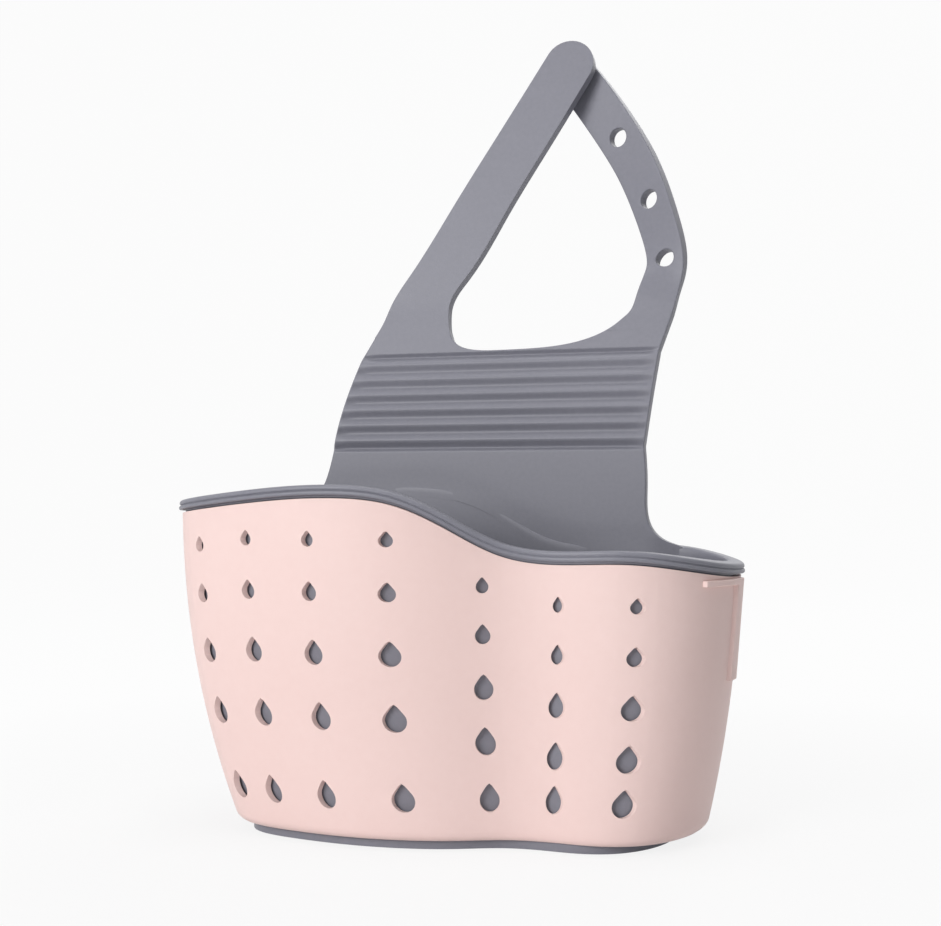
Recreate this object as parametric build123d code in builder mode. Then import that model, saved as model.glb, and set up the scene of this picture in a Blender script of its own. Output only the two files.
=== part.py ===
from build123d import *
import math
import os

os.makedirs("parts", exist_ok=True)

# Kitchen sink caddy: a hard drain basket round a soft liner, whose strap snaps
# shut in a loop above it. Millimetres, +Z up, +X to the right, -Y to the front.
# The origin lies in the plane that the caddy stands on, near the middle of its foot.

# Overall sizes
basket_left = -87.5
basket_width = 171.0
basket_depth = 68.8
basket_height = 104.6
front_y = -34.5
body_wall = 2.0
liner_wall_thickness = 1.7
liner_gap = 0.35
seam_gap = 0.3
cut_overrun = 20.0

# How far the walls draw in from the rim down to the foot
left_taper = 20.0
right_taper = 11.5
front_taper = 5.5
back_taper = 2.5
taper_power_share = 2.2

# Foot and floor
foot_stand = 2.6
lip_thickness = 1.8
lip_reach = 3.4
bottom_radius = 3.0
inner_radius = 1.2
floor_thickness = 2.2
drain_slot_width = 3.0
drain_slot_length = 14.0
drain_pitch_x = 20.0
drain_pitch_y = 17.0
drain_columns = 5
drain_rows = 2

# Rim
rim_height = 3.6
rim_overhang = 1.0

# Drop-shaped drain holes
drop_top_width = 3.7
drop_bottom_width = 6.6
drop_tip_share = 1.55
drop_reach = 8.0
bottom_row_height = 14.5
left_end_top_row = 86.4
high_side_top_row = 88.6
middle_top_row = 75.5
low_side_top_row = 70.3

# Raised guide at the right end
guide_proud = 1.4
guide_band = 6.0
guide_bar = 1.5
guide_top = 80.0
guide_bottom = 47.5
guide_front_y = -8.0
guide_back_y = 14.0

# Strap: its lower panel, ribs and yoke
strap_thickness = 3.6
strap_front_y = 30.0
strap_end_radius = 1.6
panel_top = 116.8
panel_left = 53.3
panel_left_flare = 5.5
panel_right = 51.3
panel_right_flare = 10.7
rib_count = 6
rib_pitch = 5.0
rib_thickness = 4.2
left_edge_curve_share = 1.3
strap_lean = 14.0
yoke_left = 44.5
yoke_right = 55.4
loop_floor = 1.7

# Arms, measured along the strap from the top of the ribs
arm_root_rise = 18.0
tip_x = 21.7
tip_rise = 99.7
left_arm_lean = 10.0
left_tip_radius = 8.4
left_root_outer = 36.3
left_root_inner = 15.4
right_root_inner = 47.2
right_root_outer = 60.3
right_arm_bulge = 2.3
right_arm_width = 14.4
right_tip_radius = 7.2
right_root_lean = 19.0
right_tip_lean = 10.0
right_arm_turn = 21.0

# Snap stud and the row of holes that it can take
hole_diameter = 6.2
stud_head_diameter = 5.0
stud_neck_diameter = 4.0
stud_neck_length = 7.1
stud_head_height = 2.4
stud_head_radius = 1.0

# Levels and insets worked out from the sizes above
basket_right = basket_left + basket_width
back_y = front_y + basket_depth
rim_middle = (basket_left + basket_right) / 2
rim_half = basket_width / 2 + rim_overhang
lip_top = foot_stand + lip_thickness
floor_bottom = lip_top + seam_gap
floor_top = floor_bottom + floor_thickness
wall_top = basket_height + rim_height
liner_inset = body_wall + liner_gap
cavity_inset = liner_inset + liner_wall_thickness
foot_inset = lip_reach + liner_gap
strap_middle_y = strap_front_y + strap_thickness / 2
hinge_lean = strap_lean / (rib_count + 1)
half_gap = seam_gap / 2

# The basket's outline seen from above, as shares of its width and depth: a deep
# left lobe, a hollow right of the middle, a smaller right lobe and a straight back.
outline_shares = [
    (0.081, 1.0),
    (0.018, 0.916),
    (0.0, 0.676),
    (0.003, 0.414),
    (0.039, 0.189),
    (0.161, 0.051),
    (0.3125, 0.0),
    (0.4414, 0.022),
    (0.5469, 0.097),
    (0.6347, 0.182),
    (0.7226, 0.202),
    (0.8154, 0.189),
    (0.8975, 0.243),
    (0.9619, 0.4),
    (0.9971, 0.632),
    (0.9853, 0.879),
    (0.9268, 1.0),
    (0.7168, 1.0),
    (0.5117, 1.0),
    (0.3066, 1.0),
]

# The rim's top line seen from the front, as shares of half its width and its height
rim_line_shares = [
    (-1.0, 0.949),
    (-0.612, 0.985),
    (-0.29, 1.0),
    (-0.075, 0.979),
    (0.092, 0.915),
    (0.258, 0.842),
    (0.433, 0.82),
    (0.707, 0.822),
    (1.0, 0.778),
]

# Sections of a wall: shares of its foot's radius, then of the climb to its top
turn_shares = [0.0, 0.1, 0.4, 1.0]
climb_shares = [0.08, 0.17, 0.27, 0.39, 0.52, 0.68, 1.0]
floor_shares = [0.0, 0.1, 0.3, 0.6, 1.0]

# Columns of drain holes: place on the outline as shares, the way they face in
# degrees, the top row's height, and how far their spacing is the low side's.
front_columns = [
    {"place": (0.085, 0.109), "faces": -25.0, "top": left_end_top_row, "low_share": 0.0},
    {"place": (0.189, 0.037), "faces": -11.0, "top": high_side_top_row, "low_share": 0.0},
    {"place": (0.311, 0.0), "faces": -2.0, "top": high_side_top_row, "low_share": 0.0},
    {"place": (0.449, 0.026), "faces": 11.0, "top": high_side_top_row, "low_share": 0.0},
    {"place": (0.602, 0.154), "faces": 22.0, "top": middle_top_row, "low_share": 0.5},
    {"place": (0.7285, 0.201), "faces": -3.5, "top": low_side_top_row, "low_share": 1.0},
    {"place": (0.8635, 0.208), "faces": 16.5, "top": low_side_top_row, "low_share": 1.0},
]
back_columns = [
    {"place": (0.2, 1.0), "faces": 180.0, "top": high_side_top_row, "low_share": 0.0},
    {"place": (0.4, 1.0), "faces": 180.0, "top": high_side_top_row, "low_share": 0.0},
    {"place": (0.6, 1.0), "faces": 180.0, "top": low_side_top_row, "low_share": 1.0},
    {"place": (0.8, 1.0), "faces": 180.0, "top": low_side_top_row, "low_share": 1.0},
]
high_row_shares = [1.0, 0.8, 0.57, 0.32, 0.0]
low_row_shares = [1.0, 0.745, 0.485, 0.225, 0.0]
row_size_shares = [0.0, 0.3, 0.75, 0.95, 1.0]
front_rows = range(5)
back_rows = range(2, 5)

# Edges of the lower panel: outward share of its flare, and share of its climb
left_edge_shares = [(1.0, 0.0), (0.75, 0.1), (0.55, 0.25), (0.25, 0.6), (0.0, 1.0)]
right_edge_shares = [(1.0, 0.0), (0.5, 0.07), (0.25, 0.15), (0.05, 0.6), (0.0, 1.0)]

# The loop's lower edge in the yoke, from its left corner to its right: share of the
# way across, and share of the way up from the loop's floor to the arms' roots.
loop_shares = [
    (0.0, 1.0),
    (0.005, 0.62),
    (0.05, 0.2),
    (0.16, 0.02),
    (0.3, 0.0),
    (0.52, 0.03),
    (0.77, 0.23),
    (0.905, 0.55),
    (1.0, 1.0),
]

# Stations along the right arm: share of its climb, sideways place as a share from
# root (0) to tip (1), share of its outward bulge, and share of its turn to the left.
right_station_shares = [
    (0.0, 0.0, 0.0, 0.0),
    (0.13, 0.0, 0.95, 0.55),
    (0.3, 0.06, 0.7, 1.0),
    (0.45, 0.17, 0.27, 1.0),
    (0.59, 0.33, 0.2, 0.95),
    (0.72, 0.51, 0.0, 0.8),
    (0.86, 0.745, 0.0, 0.55),
    (1.0, 1.0, 0.0, 0.33),
]
hole_climb_shares = [0.16, 0.42, 0.7]


def walls_at(level, inset):
    # Left, right, front and back of the basket at one level
    drop_share = max(0.0, (basket_height - level) / basket_height)
    draw_share = drop_share**taper_power_share
    left = basket_left + left_taper * draw_share + inset
    right = basket_right - right_taper * draw_share - inset
    front = front_y + front_taper * draw_share + inset
    back = back_y - back_taper * draw_share - inset
    return left, right, front, back


def outline_at(level, inset):
    # Points of the basket's closed outline at one level
    left, right, front, back = walls_at(level, inset)
    width = right - left
    depth = back - front
    return [(left + width * across, front + depth * along) for across, along in outline_shares]


def turned_inset(level, inset, floor_level, radius):
    # The inset at one level of a wall whose foot turns in by a radius
    rise = level - floor_level
    if rise >= radius:
        return inset
    return inset + radius - math.sqrt(radius**2 - (radius - rise) ** 2)


def wall_levels(floor_level, radius):
    # Levels of a wall's sections, close together where its foot turns in
    turn_levels = [floor_level + radius * share for share in turn_shares]
    climb = wall_top - floor_level - radius
    return turn_levels + [turn_levels[-1] + climb * share for share in climb_shares]


def rim_line(lowered):
    # Points of the rim's top line seen from the front, moved down
    line = []
    for across, up in rim_line_shares:
        line.append((rim_middle + across * rim_half, up * basket_height - lowered))
    return line


def region_above(lowered):
    # Closed outline of everything above the rim's line
    line = rim_line(lowered)
    far_left = rim_middle - rim_half - cut_overrun
    far_right = rim_middle + rim_half + cut_overrun
    high = wall_top + cut_overrun
    Spline(line)
    Polyline(line[-1], (far_right, line[-1][1]), (far_right, high))
    Polyline((far_right, high), (far_left, high), (far_left, line[0][1]), line[0])


def hole_height(column, row):
    high_share = high_row_shares[row]
    low_share = low_row_shares[row]
    climb_share = high_share + (low_share - high_share) * column["low_share"]
    return bottom_row_height + (column["top"] - bottom_row_height) * climb_share


def hole_plane(column, row):
    # A plane in the middle of the wall that faces out through one drain hole
    level = hole_height(column, row)
    left, right, front, back = walls_at(level, body_wall / 2)
    across, along = column["place"]
    turn = math.radians(column["faces"])
    place = (left + (right - left) * across, front + (back - front) * along, level)
    sideways = (math.cos(turn), math.sin(turn), 0)
    facing = (math.sin(turn), -math.cos(turn), 0)
    return Plane(origin=place, x_dir=sideways, z_dir=facing)


def drop_outline(width):
    # A drop with a round bottom and its tip up, centred on its round part
    radius = width / 2
    tip = radius * drop_tip_share
    touch = math.asin(radius / tip)
    side_x = radius * math.cos(touch)
    side_y = radius * math.sin(touch)
    ThreePointArc((-side_x, side_y), (0, -radius), (side_x, side_y))
    Polyline((side_x, side_y), (0, tip), (-side_x, side_y))


def strap_pivot(count):
    # Y and Z of the strap's living hinge number count, from 0 at the panel's top
    y = strap_middle_y
    z = panel_top
    for step in range(count):
        lean = math.radians(hinge_lean * (step + 1))
        y += rib_pitch * math.sin(lean)
        z += rib_pitch * math.cos(lean)
    return y, z


def leaning_plane(y, z, lean_degrees):
    # A plane through the strap's middle that faces the front and leans back
    lean = math.radians(lean_degrees)
    facing = (0, -math.cos(lean), math.sin(lean))
    return Plane(origin=(0, y, z), x_dir=(1, 0, 0), z_dir=facing)


def strap_edges(share):
    # Left and right edge of the ribbed stretch, from the panel to the yoke
    left = -panel_left + (panel_left - yoke_left) * share**left_edge_curve_share
    right = panel_right + (yoke_right - panel_right) * share
    return left, right


# Guide: a raised inverted L at the right end of the shell
with BuildPart() as guide:
    for level in wall_levels(foot_stand, bottom_radius):
        with BuildSketch(Plane.XY.offset(level)):
            with BuildLine():
                inset = turned_inset(level, -guide_proud, foot_stand, bottom_radius)
                Spline(outline_at(level, inset), periodic=True)
            make_face()
    loft(ruled=True)
    with BuildSketch(Plane.YZ):
        with Locations((guide_back_y - guide_band / 2, (guide_top + guide_bottom) / 2)):
            Rectangle(guide_band, guide_top - guide_bottom)
        with Locations(((guide_front_y + guide_back_y) / 2, guide_top - guide_bar / 2)):
            Rectangle(guide_back_y - guide_front_y, guide_bar)
    extrude(amount=basket_width, mode=Mode.INTERSECT)

# Outer shell: the hard sleeve, open at the top, with a lip round its open bottom
with BuildPart() as outer_shell:
    for level in wall_levels(foot_stand, bottom_radius):
        with BuildSketch(Plane.XY.offset(level)):
            with BuildLine():
                inset = turned_inset(level, 0, foot_stand, bottom_radius)
                Spline(outline_at(level, inset), periodic=True)
            make_face()
    loft(ruled=True)
    add(guide.part)
    for level in wall_levels(lip_top, inner_radius):
        with BuildSketch(Plane.XY.offset(level)):
            with BuildLine():
                inset = turned_inset(level, body_wall, lip_top, inner_radius)
                Spline(outline_at(level, inset), periodic=True)
            make_face()
    loft(ruled=True, mode=Mode.SUBTRACT)
    with BuildSketch(Plane.XY.offset(foot_stand)):
        with BuildLine():
            Spline(outline_at(foot_stand, lip_reach), periodic=True)
        make_face()
    extrude(amount=lip_thickness, both=True, mode=Mode.SUBTRACT)
    with BuildSketch(Plane.XZ):
        with BuildLine():
            region_above(rim_height + seam_gap)
        make_face()
    extrude(amount=basket_depth, both=True, mode=Mode.SUBTRACT)
    for columns, rows in ((front_columns, front_rows), (back_columns, back_rows)):
        for column in columns:
            for row in rows:
                growth = (drop_bottom_width - drop_top_width) * row_size_shares[row]
                with BuildSketch(hole_plane(column, row)):
                    with BuildLine():
                        drop_outline(drop_top_width + growth)
                    make_face()
    extrude(amount=drop_reach / 2, both=True, mode=Mode.SUBTRACT)
outer_shell.part.label = "outer_shell"
export_step(outer_shell.part, "parts/outer_shell.step")

# Liner foot: the plinth that comes out through the shell's open bottom
with BuildPart() as liner_foot:
    with BuildSketch(Plane.XY):
        with BuildLine():
            Spline(outline_at(foot_stand, foot_inset), periodic=True)
        make_face()
        with GridLocations(drain_pitch_x, drain_pitch_y, drain_columns, drain_rows):
            SlotOverall(drain_slot_length, drain_slot_width, mode=Mode.SUBTRACT)
    extrude(amount=floor_bottom)
liner_foot.part.label = "liner_foot"
export_step(liner_foot.part, "parts/liner_foot.step")

# Drain floor: the liner's bottom, with the same slots as the foot under it
with BuildPart() as drain_floor:
    for share in floor_shares:
        level = floor_bottom + floor_thickness * share
        with BuildSketch(Plane.XY.offset(level)):
            with BuildLine():
                inset = turned_inset(level, liner_inset, floor_bottom, inner_radius)
                Spline(outline_at(level, inset), periodic=True)
            make_face()
    loft(ruled=True)
    with BuildSketch(Plane.XY.offset(floor_bottom)):
        with GridLocations(drain_pitch_x, drain_pitch_y, drain_columns, drain_rows):
            SlotOverall(drain_slot_length, drain_slot_width)
    extrude(amount=floor_thickness, mode=Mode.SUBTRACT)
drain_floor.part.label = "drain_floor"
export_step(drain_floor.part, "parts/drain_floor.step")

# Liner wall: the soft wall seen behind the drain holes, up to the rim
with BuildPart() as liner_wall:
    for level in wall_levels(floor_top, inner_radius):
        with BuildSketch(Plane.XY.offset(level)):
            with BuildLine():
                Spline(outline_at(level, liner_inset), periodic=True)
            make_face()
    loft(ruled=True)
    for level in wall_levels(floor_top, inner_radius):
        with BuildSketch(Plane.XY.offset(level)):
            with BuildLine():
                inset = turned_inset(level, cavity_inset, floor_top, inner_radius)
                Spline(outline_at(level, inset), periodic=True)
            make_face()
    loft(ruled=True, mode=Mode.SUBTRACT)
    with BuildSketch(Plane.XZ):
        with BuildLine():
            region_above(rim_height)
        make_face()
    extrude(amount=basket_depth, both=True, mode=Mode.SUBTRACT)
liner_wall.part.label = "liner_wall"
export_step(liner_wall.part, "parts/liner_wall.step")

# Liner rim: the rolled edge that covers the top of the shell
with BuildPart() as liner_rim:
    for level in wall_levels(floor_top, inner_radius):
        with BuildSketch(Plane.XY.offset(level)):
            with BuildLine():
                Spline(outline_at(level, -rim_overhang), periodic=True)
            make_face()
    loft(ruled=True)
    for level in wall_levels(floor_top, inner_radius):
        with BuildSketch(Plane.XY.offset(level)):
            with BuildLine():
                Spline(outline_at(level, cavity_inset), periodic=True)
            make_face()
    loft(ruled=True, mode=Mode.SUBTRACT)
    with BuildSketch(Plane.XZ):
        with BuildLine():
            region_above(0)
        make_face()
    extrude(amount=basket_depth, both=True, mode=Mode.SUBTRACT)
    with BuildSketch(Plane.XZ):
        with BuildLine():
            region_above(rim_height)
        make_face()
    extrude(amount=basket_depth, both=True, mode=Mode.INTERSECT)
liner_rim.part.label = "liner_rim"
export_step(liner_rim.part, "parts/liner_rim.step")

# Back panel: the plain stretch of strap that rises from the back of the rim
panel_front = Plane(origin=(0, strap_front_y, 0), x_dir=(1, 0, 0), z_dir=(0, -1, 0))
left_root_z = basket_height * rim_line_shares[1][1] - half_gap
right_root_z = basket_height * rim_line_shares[7][1] - half_gap
left_climb = panel_top - half_gap - left_root_z
right_climb = panel_top - half_gap - right_root_z
left_edge = [
    (-panel_left - panel_left_flare * out, left_root_z + left_climb * up)
    for out, up in left_edge_shares
]
right_edge = [
    (panel_right + panel_right_flare * out, right_root_z + right_climb * up)
    for out, up in right_edge_shares
]
with BuildPart() as back_panel:
    with BuildSketch(panel_front):
        with BuildLine():
            Spline(left_edge)
            Line(left_edge[-1], right_edge[-1])
            Spline(right_edge)
            Polyline(
                right_edge[0],
                (right_edge[0][0], right_edge[0][1] - cut_overrun),
                (left_edge[0][0], right_edge[0][1] - cut_overrun),
                left_edge[0],
            )
        make_face()
    extrude(amount=-strap_thickness)
    fillet(back_panel.edges().filter_by(Axis.X).group_by(Axis.Z)[-1], strap_end_radius)
    with BuildSketch(Plane.XZ):
        with BuildLine():
            region_above(0)
        make_face()
    extrude(amount=basket_depth, both=True, mode=Mode.INTERSECT)
back_panel.part.label = "back_panel"
export_step(back_panel.part, "parts/back_panel.step")

# Flex ribs: six bars with a living hinge under each and one above the last
for number in range(rib_count):
    pivot_y, pivot_z = strap_pivot(number)
    rib_plane = leaning_plane(pivot_y, pivot_z, hinge_lean * (number + 1))
    low_left, low_right = strap_edges(number / rib_count)
    high_left, high_right = strap_edges((number + 1) / rib_count)
    with BuildPart() as flex_rib:
        with BuildSketch(rib_plane):
            with BuildLine():
                Polyline(
                    (low_left, half_gap),
                    (low_right, half_gap),
                    (high_right, rib_pitch - half_gap),
                    (high_left, rib_pitch - half_gap),
                    close=True,
                )
            make_face()
        extrude(amount=rib_thickness / 2, both=True)
        fillet(flex_rib.edges().filter_by(Axis.X), strap_end_radius)
    flex_rib.part.label = f"flex_rib_{number + 1}"
    export_step(flex_rib.part, f"parts/flex_rib_{number + 1}.step")

# Strap yoke: joins the last rib to both arms, and holds the bottom of the loop
yoke_y, yoke_z = strap_pivot(rib_count)
yoke_plane = leaning_plane(yoke_y, yoke_z, strap_lean)
arm_seat = arm_root_rise - strap_thickness / 2 - seam_gap
loop_width = right_root_inner + left_root_inner
loop_edge = [
    (-left_root_inner + loop_width * across, loop_floor + (arm_seat - loop_floor) * up)
    for across, up in loop_shares
]
with BuildPart() as strap_yoke:
    with BuildSketch(yoke_plane):
        with BuildLine():
            Line((-yoke_left, half_gap), (yoke_right, half_gap))
            Line((yoke_right, half_gap), (right_root_outer, arm_seat))
            Line((right_root_outer, arm_seat), loop_edge[-1])
            Spline(loop_edge)
            Line(loop_edge[0], (-left_root_outer, arm_seat))
            Line((-left_root_outer, arm_seat), (-yoke_left, half_gap))
        make_face()
    extrude(amount=strap_thickness / 2, both=True)
strap_yoke.part.label = "strap_yoke"
export_step(strap_yoke.part, "parts/strap_yoke.step")

# Left arm: a straight band with a round tip, in front of the right arm
lean = math.radians(strap_lean)
root_y = yoke_y + arm_root_rise * math.sin(lean)
root_z = yoke_z + arm_root_rise * math.cos(lean)
arm_length = tip_rise - arm_root_rise
left_plane = leaning_plane(root_y, root_z, left_arm_lean)
left_root_middle = (left_root_outer + left_root_inner) / 2
slant = math.atan2(tip_x + left_root_middle, arm_length)
across_x = left_tip_radius * math.cos(slant)
across_y = left_tip_radius * math.sin(slant)
root_foot = -strap_thickness / 2
with BuildPart() as left_arm:
    with BuildSketch(left_plane):
        with BuildLine():
            Line((-left_root_outer, root_foot), (tip_x - across_x, arm_length + across_y))
            ThreePointArc(
                (tip_x - across_x, arm_length + across_y),
                (tip_x + across_y, arm_length + across_x),
                (tip_x + across_x, arm_length - across_y),
            )
            Line((tip_x + across_x, arm_length - across_y), (-left_root_inner, root_foot))
            Line((-left_root_inner, root_foot), (-left_root_outer, root_foot))
        make_face()
    extrude(amount=strap_thickness / 2, both=True)
    fillet(left_arm.edges().filter_by(Axis.X).sort_by(Axis.Z)[:2], strap_end_radius)
left_arm.part.label = "left_arm"
export_step(left_arm.part, "parts/left_arm.step")

# Snap stud: on the back of the left arm's tip, through the right arm's last hole
stud_back = Plane(
    origin=left_plane.from_local_coords((tip_x, arm_length, -strap_thickness / 2)),
    x_dir=(1, 0, 0),
    z_dir=-left_plane.z_dir,
)
with BuildPart() as snap_stud:
    with BuildSketch(stud_back):
        Circle(stud_neck_diameter / 2)
    extrude(amount=stud_neck_length)
    with BuildSketch(stud_back.offset(stud_neck_length)):
        Circle(stud_head_diameter / 2)
    extrude(amount=stud_head_height)
    stud_axis = Axis(stud_back.origin, stud_back.z_dir)
    fillet(snap_stud.faces().sort_by(stud_axis)[-1].edges(), stud_head_radius)
snap_stud.part.label = "snap_stud"
export_step(snap_stud.part, "parts/snap_stud.step")

# Right arm: a curved, slightly twisted band that passes behind the left arm's tip
right_root_x = (right_root_inner + right_root_outer) / 2
arm_climb = arm_length * math.cos(lean)
root_slope = math.tan(math.radians(right_root_lean))
tip_slope = math.tan(math.radians(right_tip_lean))
right_path = []
for climb, across, bulge, turned in right_station_shares:
    rise = arm_climb * climb
    set_back = root_slope * rise - (root_slope - tip_slope) * rise * climb / 2
    x = right_root_x + (tip_x - right_root_x) * across + right_arm_bulge * bulge
    right_path.append(Vector(x, root_y + set_back, root_z + rise))
right_planes = []
for index, place in enumerate(right_path):
    if index == 0:
        along = Vector(0, root_slope, 1).normalized()
    else:
        ahead = right_path[min(index + 1, len(right_path) - 1)]
        along = (ahead - right_path[index - 1]).normalized()
    turn = math.radians(right_arm_turn * right_station_shares[index][3])
    facing = Vector(-math.sin(turn), -math.cos(turn), 0)
    facing = (facing - along * facing.dot(along)).normalized()
    right_planes.append(Plane(origin=place, x_dir=along.cross(facing), z_dir=along))


def arm_hole_plane(climb):
    # A plane that faces out of the right arm's front at one share of its climb
    for low in range(len(right_path) - 1):
        start = right_station_shares[low][0]
        end = right_station_shares[low + 1][0]
        if start <= climb <= end:
            mix = (climb - start) / (end - start)
            place = right_path[low] + (right_path[low + 1] - right_path[low]) * mix
            low_facing = right_planes[low].y_dir * (mix - 1)
            facing = low_facing - right_planes[low + 1].y_dir * mix
            return Plane(origin=place, z_dir=facing)


with BuildPart() as right_arm:
    for plane in right_planes:
        with BuildSketch(plane):
            Rectangle(right_arm_width, strap_thickness)
    loft()
    tip_plane = right_planes[-1]
    with BuildSketch(Plane(origin=right_path[-1], x_dir=tip_plane.x_dir, z_dir=-tip_plane.y_dir)):
        Circle(right_tip_radius)
    extrude(amount=strap_thickness / 2, both=True)
    with BuildSketch(Plane.YZ.offset(right_root_x - right_arm_width / 2)):
        with Locations((root_y, root_z)):
            Circle(strap_thickness / 2)
    extrude(amount=right_arm_width)
    for climb in hole_climb_shares:
        with BuildSketch(arm_hole_plane(climb)):
            Circle(hole_diameter / 2)
        extrude(amount=strap_thickness, both=True, mode=Mode.SUBTRACT)
    with BuildSketch(stud_back):
        Circle(hole_diameter / 2)
    extrude(amount=cut_overrun, mode=Mode.SUBTRACT)
right_arm.part.label = "right_arm"
export_step(right_arm.part, "parts/right_arm.step")

# Joint places for the record
print("foot outline centre", [round(v, 2) for v in liner_foot.part.bounding_box().center()])
for number in range(rib_count + 1):
    print("flex hinge", number + 1, [round(v, 3) for v in strap_pivot(number)])
print("arm hinges", round(root_y, 3), round(root_z, 3))
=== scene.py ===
import math

import bmesh
import bpy
import numpy as np
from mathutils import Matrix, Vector


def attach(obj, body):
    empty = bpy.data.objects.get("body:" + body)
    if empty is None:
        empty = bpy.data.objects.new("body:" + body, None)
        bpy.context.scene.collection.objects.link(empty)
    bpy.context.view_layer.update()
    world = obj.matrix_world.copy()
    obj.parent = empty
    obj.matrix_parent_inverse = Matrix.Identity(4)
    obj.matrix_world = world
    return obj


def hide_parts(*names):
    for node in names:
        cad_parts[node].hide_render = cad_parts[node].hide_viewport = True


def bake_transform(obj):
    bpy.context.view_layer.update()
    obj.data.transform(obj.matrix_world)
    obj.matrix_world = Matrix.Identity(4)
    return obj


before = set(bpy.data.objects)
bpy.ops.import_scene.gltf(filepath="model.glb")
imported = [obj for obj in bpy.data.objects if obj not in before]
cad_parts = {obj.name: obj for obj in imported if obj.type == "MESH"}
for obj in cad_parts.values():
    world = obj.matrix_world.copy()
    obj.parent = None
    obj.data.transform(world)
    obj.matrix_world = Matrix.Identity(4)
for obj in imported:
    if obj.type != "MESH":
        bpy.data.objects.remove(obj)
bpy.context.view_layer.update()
mm = 0.001
print("frame loaded")

# Sizes are the CAD's own, in millimetres, and every mesh is brought to metres at the end.
basket = {
    "left": -87.5,
    "width": 171.0,
    "depth": 68.8,
    "height": 104.6,
    "front": -34.5,
    "leftTaper": 20.0,  # how far each side draws in from the rim down to the foot
    "rightTaper": 11.5,
    "frontTaper": 5.5,
    "backTaper": 2.5,
    "taperPower": 2.2,
    "stand": 2.6,  # gap under the shell
    "edgeLevel": 95.0,  # level at which a wall's top edge looks up the rim over it
    "searchStep": 0.25,
    "rightFrom": 40.0,  # the right end lies beyond this
    # seen from above: shares of the width and of the depth
    "outline": [
        (0.081, 1.0), (0.018, 0.916), (0.0, 0.676), (0.003, 0.414), (0.039, 0.189),
        (0.161, 0.051), (0.3125, 0.0), (0.4414, 0.022), (0.5469, 0.097), (0.6347, 0.182),
        (0.7226, 0.202), (0.8154, 0.189), (0.8975, 0.243), (0.9619, 0.4), (0.9971, 0.632),
        (0.9853, 0.879), (0.9268, 1.0), (0.7168, 1.0), (0.5117, 1.0), (0.3066, 1.0),
    ],
    # the rim's top line: share of half the rim's width, and share of the height
    "rimLine": [
        (-1.0, 0.949), (-0.612, 0.985), (-0.29, 1.0), (-0.075, 0.979), (0.092, 0.915),
        (0.258, 0.842), (0.433, 0.82), (0.707, 0.822), (1.0, 0.778),
    ],
}
rim = {
    "height": 3.6,
    "overhang": 1.0,
    "level": 100.0,  # level at which the rim's ring is laid out
    "across": 600,
    # section, outward from the shell's face and up from the rim's top line
    "section": [
        (-4.1, -3.6), (-4.1, -2.2), (-4.1, -1.0), (-3.88, -0.45), (-3.4, -0.12), (-2.8, 0.0),
        (-1.5, 0.0), (-0.3, 0.0), (0.25, -0.1), (0.62, -0.36), (0.82, -0.75), (0.82, -1.12),
        (0.64, -1.4), (0.42, -1.54), (0.4, -1.66), (0.72, -1.78), (0.96, -2.0), (1.0, -2.35),
        (0.96, -2.68), (0.76, -2.88), (0.3, -2.96), (-0.7, -2.98), (-0.9, -3.2), (-0.9, -3.6),
        (-2.3, -3.6),
    ],
}


def smoothCurve(points, closed, perSpan=24):
    # a curve with even bends through every point, as many short steps
    p = np.array(points, float)
    n = len(p)
    spans = n if closed else n - 1
    gaps = [float(np.linalg.norm(p[(i + 1) % n] - p[i])) for i in range(spans)]
    rows = np.zeros((n, n))
    wanted = np.zeros((n, p.shape[1]))
    for i in range(n):
        if not closed and i in (0, n - 1):
            near = 1 if i == 0 else n - 2
            gap = gaps[0] if i == 0 else gaps[-1]
            sign = 1 if i == 0 else -1
            rows[i, i], rows[i, near] = 2, 1
            wanted[i] = 3 * sign * (p[near] - p[i]) / gap
            continue
        before, after = gaps[i - 1], gaps[i % spans]
        rows[i, i - 1] += after
        rows[i, i] += 2 * (before + after)
        rows[i, (i + 1) % n] += before
        wanted[i] = 3 * (after / before * (p[i] - p[i - 1]) + before / after * (p[(i + 1) % n] - p[i]))
    slopes = np.linalg.solve(rows, wanted)
    steps = []
    for i in range(spans):
        a, b, gap = p[i], p[(i + 1) % n], gaps[i]
        for k in range(perSpan):
            t = k / perSpan
            steps.append(
                a * (2 * t**3 - 3 * t**2 + 1)
                + slopes[i] * gap * (t**3 - 2 * t**2 + t)
                + b * (3 * t**2 - 2 * t**3)
                + slopes[(i + 1) % n] * gap * (t**3 - t**2)
            )
    steps.append(p[0] if closed else p[-1])
    return np.array(steps)


def along(curve):
    # distance walked at each step of a curve
    return np.concatenate([[0.0], np.cumsum(np.linalg.norm(np.diff(curve, axis=0), axis=1))])


def easeIn(value, start, end):
    # 0 up to the start, 1 from the end on, and a soft climb between them
    t = min(1.0, max(0.0, (value - start) / (end - start)))
    return t * t * (3 - 2 * t)


ringSteps = smoothCurve([(a * basket["width"], b * basket["depth"]) for a, b in basket["outline"]], True)
ringWalk = along(ringSteps)
perimeter = ringWalk[-1]
rimMiddle = basket["left"] + basket["width"] / 2
rimHalf = basket["width"] / 2 + rim["overhang"]
rimSteps = smoothCurve(
    [(rimMiddle + a * rimHalf, b * basket["height"]) for a, b in basket["rimLine"]], False
)


def wallsAt(level, inset):
    # left, right, front and back of the basket at one level
    draw = max(0.0, (basket["height"] - level) / basket["height"]) ** basket["taperPower"]
    left = basket["left"] + basket["leftTaper"] * draw + inset
    right = basket["left"] + basket["width"] - basket["rightTaper"] * draw - inset
    front = basket["front"] + basket["frontTaper"] * draw + inset
    back = basket["front"] + basket["depth"] - basket["backTaper"] * draw - inset
    return left, right, front, back


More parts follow.
